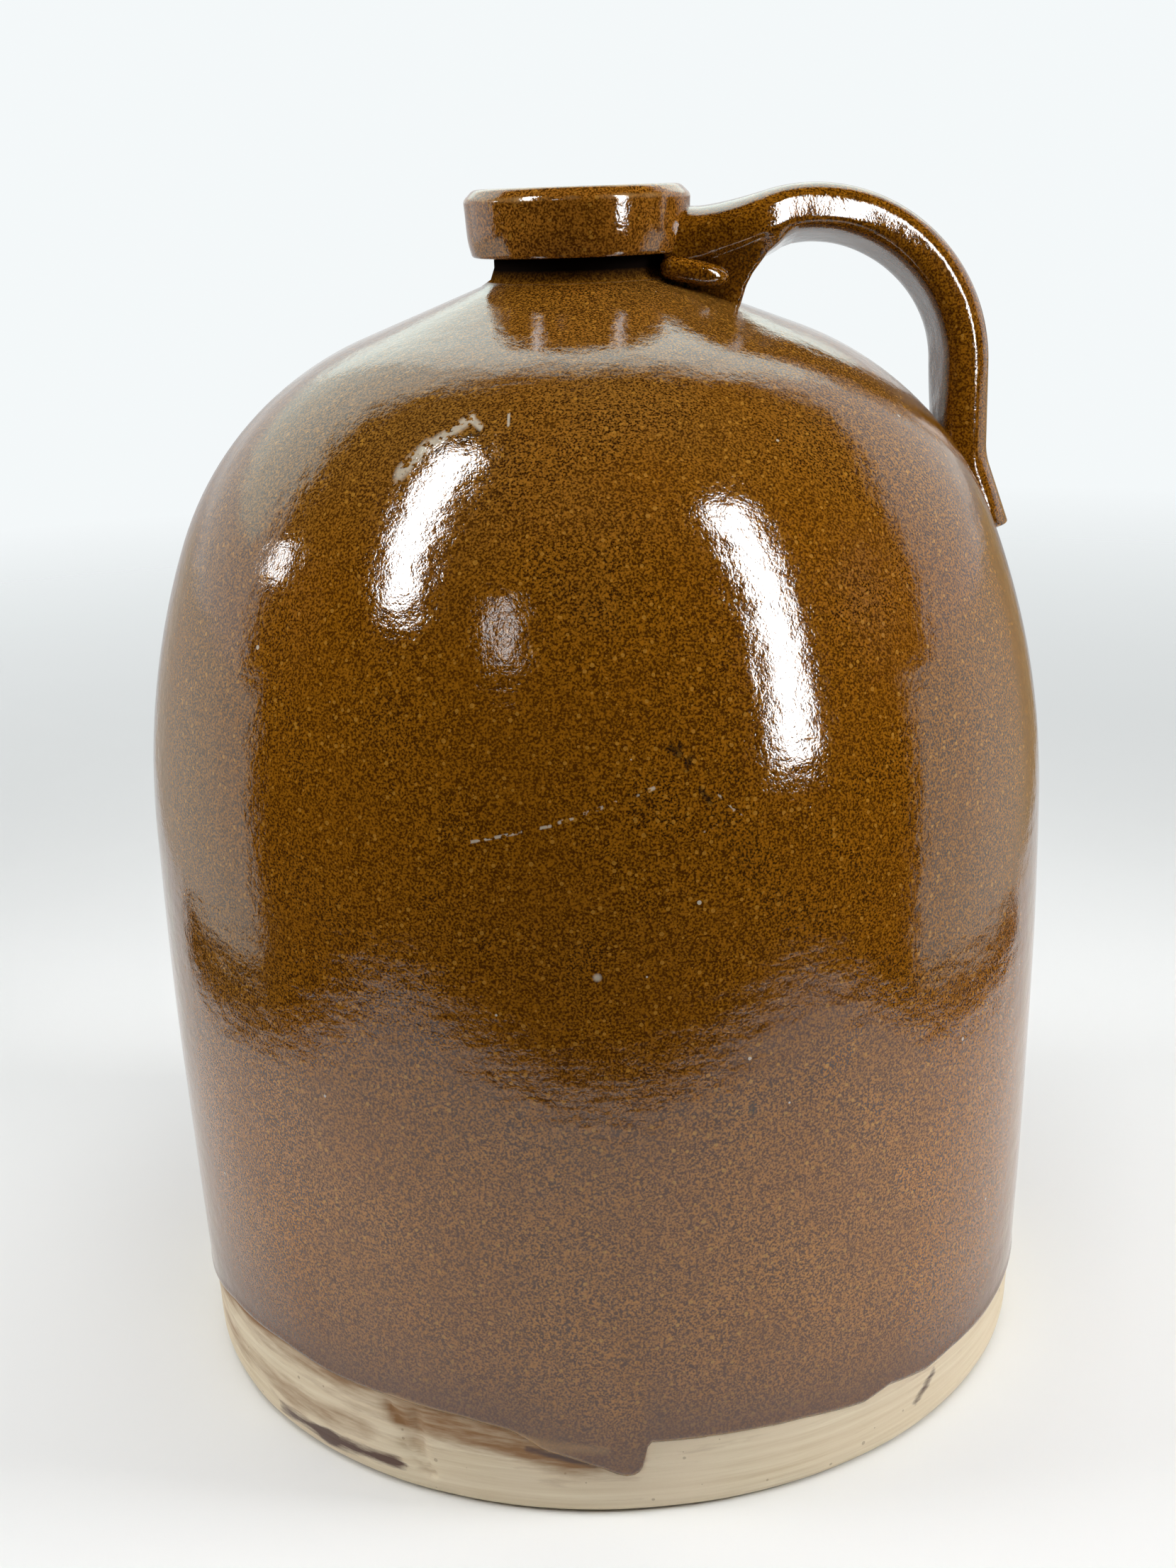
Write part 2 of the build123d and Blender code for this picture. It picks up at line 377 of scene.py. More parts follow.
def brown_glaze_material():
    """Brown to tan by two sizes of grain, tinted by cloud, marks and the attributes; its bump is
    orange peel, throwing lines and both grains."""
    material, tree, shader = new_material("brown_glaze")
    place = object_place(tree)
    fine = add_kiln_marks(tree, grain=2500.0, cloud=55.0, speck=120.0, size=0.05)
    coarse = add_kiln_marks(tree, grain=1100.0, cloud=210.0, speck=800.0, size=0.34)
    rings = noise_node(tree, moved_place(tree, place, Scale=(50.0, 50.0, 260.0)), 1.0, 2.0)
    drifts = noise_node(tree, moved_place(tree, place, Location=(0.37, 0.11, 0.23)), 15.0, 2.0)
    low_tone, olive, near_line, thin_film, groove = (
        read_field(tree, name) for name in ("low_tone", "olive", "near_line", "thin_film", "groove"))

    grain = math_node(tree, "ADD", math_node(tree, "MULTIPLY", fine["Grain"], 0.8),
                      math_node(tree, "MULTIPLY", coarse["Grain"], 0.2))
    colour = blend(tree, remap(tree, grain, 0.42, 0.60),
                   blend(tree, low_tone, dark_grain, dark_grain_low),
                   blend(tree, low_tone, tan_grain, tan_grain_low))
    colour = blend(tree, remap(tree, fine["Cloud"], 0.3, 0.7, 0.0, 0.3), colour, cloud_brown)
    # The olive field is painted reflection haze, high up and on the left; the drifts noise is the glaze's own
    # colour.
    drift_plus_haze = math_node(tree, "ADD", math_node(tree, "MULTIPLY", drifts, 0.5), olive)
    colour = blend(tree, remap(tree, drift_plus_haze, 0.34, 0.50), colour, olive_drift_and_haze, "MULTIPLY")
    uneven = math_node(tree, "MULTIPLY", thin_film, math_node(tree, "ADD", rings, 0.5))
    layers = [(math_node(tree, "MULTIPLY", coarse["Speck"], 0.55), gold_fleck),
              (math_node(tree, "MULTIPLY", fine["Speck"], 0.8), pale_pit),
              (remap(tree, near_line, 0.12, 0.85, 0.0, 0.75), thick_purple),
              (remap(tree, uneven, 0.35, 0.95, 0.0, 0.9), thin_amber),
              # painted shade in the groove under the ring
              (remap(tree, groove, 0.6, 0.95), painted_groove_shade)]
    for lines, tint in ((dark_spots_and_scar_shadow, spot_dark_and_scar_shadow), (pale_lines, scar_pale)):
        for line in lines:
            layers.append((math_node(tree, "MULTIPLY", add_line_mark(tree, *line), 0.65), tint))
    rough = remap(tree, coarse["Grain"], 0.3, 0.7, 0.035, 0.09)
    set_inputs(tree, shader, {
        "Base Color": paint_over(tree, colour, layers),
        "Roughness": math_node(tree, "ADD", rough, math_node(tree, "MULTIPLY", groove, 0.6)),
        "IOR": 1.7,
        "Specular IOR Level": remap(tree, groove, 0.1, 0.5, 0.5, 0.0),
        "Normal": bump_normal(tree, (coarse["Cloud"], 0.00017, 0.8), (rings, 0.00011, 0.8),
                              (coarse["Grain"], 0.000036, 0.6), (fine["Grain"], 0.000027, 0.8))})
    return material


brown_glaze = brown_glaze_material()
print("material", brown_glaze.name)

# %% [markdown]
# The bare clay is a buff stoneware. A rib or a sponge drawn round the foot left fine
# level scratches, so its noise is stretched along the level and squeezed in height. Brown
# stains and smears of stray glaze come from two attributes on the foot.

# %% Bare clay
buff_dark, buff_light, buff_cloud = (0.63, 0.505, 0.33, 1), (0.78, 0.68, 0.50, 1), (0.74, 0.61, 0.44, 1)
clay_speck = (0.20, 0.12, 0.06, 1)
stain_brown, smear_brown = (0.26, 0.125, 0.04, 1), (0.085, 0.034, 0.018, 1)


def bare_clay_material():
    """Buff by cloud and scratch, browner by the stain attribute, glaze brown by the smear attribute."""
    material, tree, shader = new_material("clay")
    place = object_place(tree)
    marks = add_kiln_marks(tree, grain=1500.0, cloud=45.0, speck=320.0, size=0.16)
    scratch = noise_node(tree, moved_place(tree, place, Scale=(30.0, 30.0, 900.0)), 1.0, 5.0, 0.65)
    wipe = noise_node(tree, moved_place(tree, place, Scale=(70.0, 70.0, 480.0)), 1.0, 5.0, 0.6)
    ragged = math_node(tree, "MULTIPLY", math_node(tree, "SUBTRACT", wipe, 0.5), 1.6)

    stained, smeared = (math_node(tree, "ADD", read_field(tree, name), ragged)
                        for name in ("stain", "smear"))
    smeared = remap(tree, smeared, 0.52, 0.95)
    colour = blend(tree, remap(tree, scratch, 0.32, 0.68), buff_dark, buff_light)
    layers = [(remap(tree, marks["Cloud"], 0.35, 0.65, 0.0, 0.6), buff_cloud),
              (math_node(tree, "MULTIPLY", marks["Speck"], 0.45), clay_speck),
              (remap(tree, stained, 0.25, 1.05), stain_brown), (smeared, smear_brown)]
    set_inputs(tree, shader, {
        "Base Color": paint_over(tree, colour, layers),
        "Roughness": remap(tree, smeared, 0.0, 1.0, 0.62, 0.30),
        "Normal": bump_normal(tree, (scratch, 0.00012, 0.6), (marks["Grain"], 0.00003, 0.5))})
    return material


bare_clay = bare_clay_material()
print("material", bare_clay.name)

# %% [markdown]
# The body is a turned form, so it is one outline spun round the axis. The outline is a few
# points with headings, joined by arcs that start along the heading: the foot, the belly, a
# dome of two arcs, the cone and the neck. The same outline moved out by the coat's thickness
# is the glaze.

# %% Outline of the body
coat = 0.5
belly_radius, belly_height = (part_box("lower_body")[1][k] / MM for k in (0, 2))
collar_foot_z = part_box("mouth_collar")[0][2] / MM
top_z = solid_box[1][2] / MM
foot_radius, foot_edge_height, foot_edge_inset = 88.0, 4.0, 2.6
shoulder_top = np.array([43.0, top_z - 27.8])
cone_slope = math.radians(21)
neck_radius, neck_sweep = 16.1, 4.0
arc_steps = 160


def right_of(heading):
    """The heading turned a quarter to the right: (across, up) becomes (up, -across)."""
    return np.stack([heading[..., 1], -heading[..., 0]], axis=-1)


def unit(vectors):
    """Each vector divided by its length."""
    return vectors / np.linalg.norm(vectors, axis=-1, keepdims=True)


def arc_points(start, heading, end, count):
    """Points on the circle that leaves start along heading and passes through end: its sweep is
    twice the angle between heading and chord, and each point is start plus the chord to that share
    of the sweep."""
    heading = unit(heading)
    side = -right_of(heading)
    chord = end - start
    half = np.arctan2(chord @ side, chord @ heading)
    if abs(half) < 1e-6:
        return start + np.linspace(0, 1, count)[:, None] * chord
    share = np.linspace(0, 1, count)[:, None] * half
    radius = np.linalg.norm(chord) / (2 * np.sin(half))
    return start + 2 * radius * np.sin(share) * (np.cos(share) * heading + np.sin(share) * side)


def body_outline(out):
    """(radius, height) points from the foot's edge to the ring, moved outwards by out. The dome's
    two arcs meet where both leave their ends by the same reach along the ends' headings."""
    up = np.array([0.0, 1.0])
    cone = np.array([-math.cos(cone_slope), math.sin(cone_slope)])
    belly = np.array([belly_radius, belly_height])
    chord = shoulder_top - belly
    both = up + cone
    spread = 2 * (1 - up @ cone)
    reach = (math.sqrt((chord @ both) ** 2 + spread * (chord @ chord)) - chord @ both) / spread
    joint = (belly + shoulder_top + reach * (up - cone)) / 2
    to_joint = belly + reach * up
    joint_heading = unit(joint - to_joint)
    foot = np.array([foot_radius, foot_edge_height])
    lean = belly - foot
    foot_heading = np.array([2 * lean[0] * lean[1], lean[1] ** 2 - lean[0] ** 2]) / (lean @ lean)
    turn = math.pi / 2 - cone_slope
    run = neck_sweep * math.tan(turn / 2)
    corner = shoulder_top + cone * (shoulder_top[0] - neck_radius) / math.cos(cone_slope)
    bend_start, bend_end = corner - run * cone, corner + run * up
    marks = [(foot, foot_heading), (belly, up), (joint, joint_heading), (shoulder_top, cone),
             (bend_start, cone), (bend_end, up), (np.array([neck_radius, collar_foot_z]), up)]
    moved = [(p + out * right_of(h), h) for p, h in marks]
    runs = [arc_points(p, h, q, arc_steps)[:-1] for (p, h), (q, _) in zip(moved, moved[1:])]
    return np.concatenate(runs + [moved[-1][0][None]])


clay_outline = body_outline(0.0)
glaze_outline = body_outline(coat)
wall_points = 300  # the outline's first points: foot, wall and lower dome


def clay_radius(height):
    """The clay wall's radius at a height below the upper dome."""
    return np.interp(height, clay_outline[:wall_points, 1], clay_outline[:wall_points, 0])


print("outline: foot", clay_outline[0].round(1), "widest", clay_outline[:, 0].max().round(1))

# %% [markdown]
# The glaze ends in a wavy line round the foot, a little lower on the handle's side, with one
# fat drip at the front. Its height is a list of places round the pot, joined by straight
# runs. Azimuth 0 is the handle, and -90 faces the camera. The pot has a column of points for
# every 0.7 degrees, and more at the drip.

# %% Where the glaze ends
line_azimuth = [
    -180, -162, -150, -137, -128, -119, -109, -103, -101, -99, -95, -92, -90.3, -89.2, -88.2, -87.6, -87.2,
    -86.9, -86.6, -86.1, -79, -67, -58, -54, -47, -42, -33, -15, 10, 40, 75, 110, 145, 180]
line_height = [
    17.4, 17.6, 21.2, 22.0, 20.9, 20.7, 19.9, 18.4, 16.8, 14.6, 12.6, 10.8, 9.5, 9.0, 9.2, 9.9, 11.0,
    12.8, 15.2, 16.3, 16.1, 15.5, 13.9, 15.2, 13.6, 14.2, 14.0, 14.4, 14.0, 15.6, 17.0, 18.8, 18.2, 17.4]
even_turns, drip_turns = np.linspace(-180, 180, 520, endpoint=False), np.linspace(-94.05, -84.05, 80)
turns = np.radians(np.sort(np.concatenate([even_turns, drip_turns])))
columns = len(turns)
azimuth = np.degrees(turns)
glaze_line = np.interp(azimuth, line_azimuth, line_height)
print("glaze line from %.1f to %.1f mm" % (glaze_line.min(), glaze_line.max()))

# %% [markdown]
# The glaze coat is a thin closed skin: its outer side climbs from the line to the ring, and its
# inner side comes back down just off the clay. The first few millimetres swell into a bead, and
# slow waves of a fifth of a millimetre keep the reflections from looking machined.

# %% Glaze coat
bead_height, bead_middle, bead_width = 0.2, 1.1, 0.8
wave_height, wave_shift = 0.2, 0.7  # shifted inwards, to stay in the solid's box
low_rows, high_rows, rows_near_ring, inner_step = 46, 83, 20, 9
groove_width = 2.6


def spun(radius, height, turns):
    """Points (radius cos a, radius sin a, height) for every row and turn a."""
    radius, height, turns = np.broadcast_arrays(radius, height, turns)
    return np.stack([radius * np.cos(turns), radius * np.sin(turns), height], axis=-1)


def streak(azimuth, height, start, end, width):
    """1 on the slanting line from start to end, as (azimuth, height), falling off over width in mm."""
    mm_per_degree = foot_radius * math.pi / 180
    across = (azimuth - start[0]) * mm_per_degree
    along = np.array([(end[0] - start[0]) * mm_per_degree, end[1] - start[1]])
    up = height - start[1]
    share = np.clip((across * along[0] + up * along[1]) / (along @ along), 0, 1)
    return np.exp(-((across - share * along[0]) ** 2 + (up - share * along[1]) ** 2) / width ** 2)


def slow_waves(turns, height):
    """Between -1 and 1: three waves of different lengths round the pot, each sheared by the height."""
    return (np.sin(2 * turns + height / 31 + 0.6) + 0.6 * np.sin(5 * turns - height / 17 + 2.1)
            + 0.4 * np.sin(9 * turns + height / 9)) / 2


def glaze_grid():
    """Rows bunch towards the line, then follow the outline. The thickness is coat (1 - exp(-gap / 0.45))
    plus a bead, height exp(-((gap - middle) / width)^2), where gap is the height above the line."""
    blend_z = 60.0
    low = glaze_line + (blend_z - glaze_line) * (np.linspace(0, 1, low_rows)[:, None] ** 1.5)
    gap = low - glaze_line
    clay_r = clay_radius(low)
    bead = bead_height * np.exp(-((gap - bead_middle) / bead_width) ** 2) * (1 - np.exp(-gap / 0.3))
    thickness = coat * (1 - np.exp(-gap / 0.45)) + bead
    length = np.concatenate([[0], np.cumsum(np.linalg.norm(np.diff(glaze_outline, axis=0), axis=1))])
    start = np.interp(blend_z, glaze_outline[:wall_points, 1], length[:wall_points])
    stations = np.linspace(start, length[-1], high_rows + 1)[1:, None] * np.ones(columns)
    high_r, high_z = (np.interp(stations, length, glaze_outline[:, k]) for k in (0, 1))
    radius = np.concatenate([clay_r + thickness, high_r])
    height = np.concatenate([low, high_z])
    gap = height - glaze_line
    fade = np.clip(gap / 12, 0, 1) * np.clip((radius - neck_radius) / 20, 0, 1)
    radius = radius + wave_height * fade * (slow_waves(turns, height) - wave_shift)

    wiped = streak(azimuth, height, (-118, 20.6), (-91.5, 15.1), 1.7)
    left_haze = np.interp(radius * np.cos(turns), [-70, -10], [0.14, 0])
    # Painted reflection haze: olive grey high up, and more towards the left side.
    fields = {"low_tone": np.clip((98 - height) / 30, 0, 1),
              "olive": np.interp(height, [150, 215], [0, 0.24]) + left_haze,
              "near_line": np.exp(-gap / 13.0),
              "thin_film": np.exp(-gap / 0.8) + 0.6 * wiped,
              # groove: painted shade, dark and matt, in the groove under the ring
              "groove": np.clip((neck_radius + coat + groove_width - radius) / groove_width, 0, 1)}

    last = len(height) - 1
    inner = np.concatenate([np.arange(last, last - rows_near_ring, -1),
                            np.arange(last - rows_near_ring, -1, -inner_step)])
    inner_z = np.concatenate([height[inner], glaze_line[None] + 0.2])
    inner_r = np.concatenate([clay_r, high_r - coat])[inner] + 0.06
    inner_r = np.concatenate([inner_r, clay_r[:1] + 0.02])
    fields = {name: np.concatenate([values, np.zeros_like(inner_z)]) for name, values in fields.items()}
    return spun(np.concatenate([radius, inner_r]), np.concatenate([height, inner_z]), turns), fields


glaze_points, glaze_fields = glaze_grid()
grid_piece("glaze_coat", glaze_points, brown_glaze, ["outside_glaze"], ring_rows=True,
           fields=glaze_fields)

# %% [markdown]
# The foot is the clay's lower half: the flat underside, a rounded edge, the wall, and the
# hollow inside. The potter's tool left a V-shaped gouge on the front, and glaze was wiped off
# below the line, which left brown stains. Both are worked out from azimuth and height.

# %% Bare foot
wall_thickness, floor_thickness, inner_corner = 7.0, 9.0, 14.0
fine_band_top = 26.0
gouge_depth = 0.8
gouge_cuts = [((-119.5, 18.5), (-115.8, 11), 1.1), ((-115.4, 18), (-115.0, 9), 1.0),
              ((-117.8, 9.5), (-114.4, 4.6), 0.9), ((-116.0, 11), (-113.6, 5.5), 0.9)]
stain_streaks = [(0.55, (-160, 9), (-124, 10), 4.0), (0.75, (-118, 16.2), (-93, 12.4), 2.4)]
smear_streaks = [(0.75, (-140, 4.2), (-130, 4.6), 2.0), (0.8, (-130, 4.6), (-119, 5.6), 2.8),
                 (0.9, (-101, 14.6), (-93, 11.8), 1.2), (0.85, (-48.5, 7), (-45, 11.5), 1.6)]


def foot_grid():
    """One closed outline from the middle of the underside, out, up the wall, over the rim, down the
    inside; the gouge is cut into the wall, and stain and smear are streaks on it."""
    under = np.stack([np.linspace(0, foot_radius - foot_edge_inset, 10), np.zeros(10)], axis=-1)
    bend = np.linspace(0, math.pi / 2, 10)[1:]
    edge = np.stack([foot_radius - foot_edge_inset * (1 - np.sin(bend)),
                     foot_edge_height * (1 - np.cos(bend))], axis=-1)
    band_z = np.concatenate([np.linspace(foot_edge_height, fine_band_top, 56)[1:],
                             np.linspace(fine_band_top, belly_height, 10)[1:]])
    band = np.stack([clay_radius(band_z), band_z], axis=-1)
    inner_z = np.linspace(belly_height, floor_thickness + inner_corner, 16)
    inner = np.stack([clay_radius(inner_z) - wall_thickness, inner_z], axis=-1)
    bend = np.linspace(0, math.pi / 2, 8)[1:]
    corner = np.stack([inner[-1, 0] - inner_corner * (1 - np.cos(bend)),
                       floor_thickness + inner_corner * (1 - np.sin(bend))], axis=-1)
    floor = np.stack([np.linspace(corner[-1, 0], 0, 8)[1:], np.full(7, floor_thickness)], axis=-1)
    outline = np.concatenate([under, edge, band, inner, corner, floor])
    radius, height = (outline[:, k, None] * np.ones(columns) for k in (0, 1))
    wall = np.zeros((len(outline), 1))
    wall[len(under):len(under) + len(edge) + len(band)] = 1

    gouge = sum(streak(azimuth, height, *cut) for cut in gouge_cuts)
    gouge = np.clip(gouge, 0, 1) * wall
    radius = radius - gouge_depth * gouge + 0.12 * wall * slow_waves(3 * turns, 6 * height)
    below = np.clip(glaze_line - height, 0, None)
    wiped_side = np.interp(azimuth, [-175, -165, -97, -93, -40, 60, 175],
                           [0.5, 1.0, 1.1, 0.35, 0.3, 0.4, 0.5])
    # The gouge is also made browner, by 0.3.
    stain = wiped_side * np.exp(-below / 3.6) + 0.3 * gouge
    stain = stain + sum(share * streak(azimuth, height, *line) for share, *line in stain_streaks)
    smear = sum(share * streak(azimuth, height, *line) for share, *line in smear_streaks)
    return spun(radius, height, turns), {"stain": np.clip(stain, 0, 1) * wall, "smear": smear * wall}


foot_points, foot_fields = foot_grid()
grid_piece("bare_foot", foot_points, bare_clay, ["lower_body"], weld=True, fields=foot_fields)

# %% [markdown]
# The ring round the mouth is a thick turned collar: a wall that leans out a little, a bevel
# worn round at the top, where the glaze is thin, and the bore for a stopper.

# %% Mouth ring
collar_top_radius, collar_foot_radius, bore_radius = 22.2, 20.9, 11.5
collar_waist_radius, collar_waist_rise = 21.7, 3.2
collar_bevel, mouth_easing = 2.0, 1.5
collar_low = collar_foot_z - coat
# The ring's tone is painted light: the lower pot's lighter grains laid on the ring make it look more brightly lit.
ring_columns, ring_wave, ring_painted_light = 360, 0.1, 0.6


def rounded_outline(corners, steps=7):
    """A closed outline of (place, radius) corners, each replaced by a curve between the points at its
    radius along both sides: (1-t)^2 before + 2 t (1-t) corner + t^2 after."""
    reach = np.array([radius for _, radius in corners])[:, None]
    corners = np.array([place for place, _ in corners], float)
    before, after = (np.roll(corners, k, axis=0) - corners for k in (1, -1))
    a, b = corners + unit(before) * reach, corners + unit(after) * reach
    t = np.linspace(0, 1, steps)[:, None, None]
    return ((1 - t) ** 2 * a + 2 * t * (1 - t) * corners + t ** 2 * b).transpose(1, 0, 2).reshape(-1, 2)


def split_sides(outline, longest):
    """Adds points to sides longer than longest, evenly."""
    nxt = np.roll(outline, -1, axis=0)
    cuts = np.maximum(1, np.ceil(np.linalg.norm(nxt - outline, axis=1) / longest)).astype(int)
    share = np.concatenate([np.arange(c) / c for c in cuts])[:, None]
    return np.repeat(outline, cuts, axis=0) * (1 - share) + np.repeat(nxt, cuts, axis=0) * share


bevel_low, bevel_high = (collar_top_radius, top_z - collar_bevel), (collar_top_radius - collar_bevel, top_z)
collar_outline = split_sides(rounded_outline([
    ((neck_radius - 1, collar_low), 0.3), ((collar_foot_radius, collar_low), 0.8),
    ((collar_waist_radius, collar_low + collar_waist_rise), 1.6), (bevel_low, 0.7), (bevel_high, 0.9),
    ((bore_radius + mouth_easing, top_z), 0.6), ((bore_radius, top_z - mouth_easing), 0.6),
    ((bore_radius, collar_low + 1), 0.3)]), longest=0.9)
ring_turns = np.linspace(-math.pi, math.pi, ring_columns, endpoint=False)
ring_radius, ring_height = collar_outline[:, :1], collar_outline[:, 1:]
ring_wobble = ring_wave * slow_waves(ring_turns, ring_height * 2) * (ring_radius > collar_foot_radius - 3)
ring_wear = sum(np.exp(-np.sum((collar_outline - corner) ** 2, axis=1) / 0.7)
                for corner in (bevel_low, bevel_high))[:, None]
ring_wear = ring_wear * (0.6 + 0.4 * slow_waves(3 * ring_turns, ring_height))
grid_piece("mouth_ring", spun(ring_radius + ring_wobble - ring_wave, ring_height, ring_turns), brown_glaze,
           ["mouth_collar"], ring_rows=True,
           fields={"thin_film": ring_wear, "low_tone": ring_painted_light})

# %% [markdown]
# The handle is a strap that was pulled by hand: an oval section carried along a path from the
# ring, over an arch, and down to a tail pressed on the dome. Near the ring a web hangs under
# the strap and stands on the cone. It is part of the same section: its lower side is pushed
# down in the middle, so the strap keeps a lip above the web that fades into the arch. The hand
# that bent the strap also rolled it a little, so from the front its inner face shows, and over
# the arch the strap narrows and swings back.

# %% Strap handle
strap_rise = math.radians(15)
strap_root = np.array([0.0, top_z - 11.97])
arch_radius, arch_middle = 35.5, np.array([45.6, 200.5])
strap_thickness, strap_half_width = 9.8, 12.0
strap_roll = math.radians(11)
bend_corner_z, bend_radius = 182.3, 14.0
tail_end, tail_length = np.array([86.02, 168.26]), 5.0
strap_start, strap_steps, strap_columns = 15.5, 220, 144
outer_power, inner_power = 2.3, 5.0
# The near edge's slant by the length along the strap, and the web's depth by the distance from the axis.
slant_along = [31, 38, 42, 46, 51, 58, 65, 77, 92]
slant_share = [0, 0.30, 0.33, 0.32, 0.28, 0.19, 0.11, 0.02, 0]
narrowing, swinging = 0.34, 0.66  # shares of that slant
web_x = [15, 20, 25.2, 26.1, 28.1, 29.9, 33.4, 38, 41]
web_depth = [10, 12, 12.4, 10.2, 6.9, 4.9, 2.2, 0.5, 0]


def strap_path():
    """Even points along the strap's outer side, their headings and lengths, and the whole length."""
    rise, down = np.array([math.cos(strap_rise), math.sin(strap_rise)]), np.array([0.0, -1.0])
    crown = arch_middle + arch_radius * np.array([-math.sin(strap_rise), math.cos(strap_rise)])
    side = arch_middle + np.array([arch_radius, 0])
    corner = np.array([side[0], bend_corner_z])
    tail = unit(tail_end - corner)
    run = bend_radius * math.tan(math.acos(-tail[1]) / 2)
    bend_start, bend_end = corner - run * down, corner + run * tail
    path = np.concatenate([
        arc_points(strap_root, rise, crown, 60)[:-1], arc_points(crown, rise, side, 120)[:-1],
        arc_points(side, down, bend_start, 30)[:-1], arc_points(bend_start, down, bend_end, 20)[:-1],
        arc_points(bend_end, tail, tail_end, 20)])
    length = np.concatenate([[0], np.cumsum(np.linalg.norm(np.diff(path, axis=0), axis=1))])
    even = np.linspace(strap_start, length[-1], strap_steps)
    path = np.stack([np.interp(even, length, path[:, k]) for k in (0, 1)], axis=-1)
    return path, unit(np.gradient(path, axis=0)), even, length[-1]


def eased(value, start, end):
    """0 before start, 1 after end, and 3 t^2 - 2 t^3 between them."""
    t = np.clip((value - start) / (end - start), 0, 1)
    return t * t * (3 - 2 * t)


def strap_grid():
    """An oval (|y / w|^m + |n / b|^m = 1) at each step, with a larger m inside, so that the inner face is
    flat. Its lower side is pushed down by the web's depth between the web's edges, the whole is rolled
    about the path, and the last steps shrink as a quarter circle to a blunt end."""
    path, heading, along, whole = strap_path()
    inward = right_of(heading)
    x_path = np.where(along < whole / 2, path[:, 0], 100.0)
    flare = 1.9 * np.exp(-np.clip(x_path - 21.0, 0, None) / 3.0)
    unrolled = 0.45 * eased(along, 62, 100) + 0.4 * eased(along, whole - 34, whole - 14)
    roll = strap_roll * eased(x_path, 25, 42) * (1 - unrolled)
    lean = 3.5 * np.sin(roll)
    path = path + inward * (lean - coat - flare)[:, None]
    drift = np.cumsum(np.interp(along, slant_along, slant_share)) * (along[1] - along[0])
    depth = np.interp(x_path, web_x, web_depth)
    end = np.sqrt(np.clip(1 - np.clip(1 - (whole - along) / tail_length, 0, 1) ** 2, 0, 1))
    thickness = strap_thickness - 0.6 * (1 - eased(x_path, 26, 36)) + flare
    half_thick = thickness / 2 * (0.25 + 0.75 * end)
    width = strap_half_width * (0.7 + 0.3 * end) - 1.2 * (1 - eased(x_path, 18, 30)) - narrowing * drift
    half_thick[-1] = width[-1] = 0

    around = np.linspace(0, 2 * math.pi, strap_columns, endpoint=False)
    power = 2 / np.where(np.sin(around) < 0, inner_power, outer_power)
    across, outward = (np.sign(f) * np.abs(f) ** power for f in (np.cos(around), np.sin(around)))
    web_edge = np.interp(x_path, [18, 26, 36], [0.70, 0.80, 0.95])[:, None]
    web = depth[:, None] * (1 - eased(np.abs(across), web_edge - 0.14, web_edge + 0.05)) * (outward < 0)
    lift = half_thick[:, None] * outward - web
    front = width[:, None] * across
    turn = roll[:, None]
    lift, front = (lift * np.cos(turn) + front * np.sin(turn), front * np.cos(turn) - lift * np.sin(turn))
    middle = path + inward * half_thick[:, None]
    grid = np.stack([middle[:, :1] - inward[:, :1] * lift, swinging * drift[:, None] - front,
                     middle[:, 1:] - inward[:, 1:] * lift], axis=-1)
    first = np.broadcast_to(grid[0].mean(axis=0), grid[:1].shape)
    return np.concatenate([first, grid])


grid_piece("strap_handle", strap_grid(), brown_glaze, ["handle"], weld=True)

# %% [markdown]
# Wads of clay were pressed into the groove under the ring, on both sides of the web. Each is
# a short roll with round ends.

# %% Clay wads
wad_radius, wad_flattening = 2.3, 1.15
wad_start, wad_end = (15.4, 10.2, 222.0), (28.6, 9.4, 219.1)


def roll_grid(start, end, radius):
    """A round section carried from start to end; its radius follows (1 - |t|^p)^(1/2) with t from -1 to 1,
    where p is 6 in the first half and 3 in the second."""
    t = np.sin(np.linspace(-math.pi / 2, math.pi / 2, 40))
    along = unit(end - start)
    side = unit(np.cross(along, (0, 0, 1.0)))
    up = np.cross(side, along)
    around = np.linspace(0, 2 * math.pi, 40, endpoint=False)
    size = radius * np.sqrt(np.clip(1 - np.abs(t) ** np.where(t < 0, 6, 3.0), 0, 1))
    middle = (start + end) / 2 + np.outer(t, (end - start) / 2)
    ring = np.outer(np.cos(around), side) * wad_flattening + np.outer(np.sin(around), up)
    return middle[:, None] + size[:, None, None] * ring


for side_name, side_sign in (("front", -1), ("back", 1)):
    wad = roll_grid(*(np.array(place) * (1, side_sign, 1) for place in (wad_start, wad_end)), wad_radius)
    grid_piece("clay_wad_" + side_name, wad, brown_glaze, ["handle_wad"], weld=True)

# %% [markdown]
# Two solids keep their own shape: the upper clay, which the coat hides, and the lining.

# %% Solids that stay
for node, material in (("shoulder", bare_clay), ("inside_glaze", brown_glaze)):
    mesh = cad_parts[node].data
    mesh.materials.clear()
    mesh.materials.append(material)
print("kept: shoulder, inside_glaze")

# %% [markdown]
# The room. The photo was taken against white, so the world is pale, and the floor is a matt
# sheet that thins away from a third of a metre out until only the white room shows.

# %% Floor and world
room_white = (0.905, 0.94, 0.95, 1)
floor_white = (0.86, 0.87, 0.865, 1)
floor_solid_to, floor_gone_at = 0.36, 1.2


def plain_material(name, colour):
    """A matt finish of one colour with a trace of cloud in it; also its tree and its Alpha socket."""
    material, tree, shader = new_material(name)
    cloud = noise_node(tree, object_place(tree), 6.0, 3.0)
    darker = tuple(0.96 * c for c in colour[:3]) + (1,)
    set_inputs(tree, shader, {"Base Color": blend(tree, cloud, darker, colour), "Roughness": 0.9,
                              "Specular IOR Level": 0.0})
    return material, tree, shader.inputs["Alpha"]


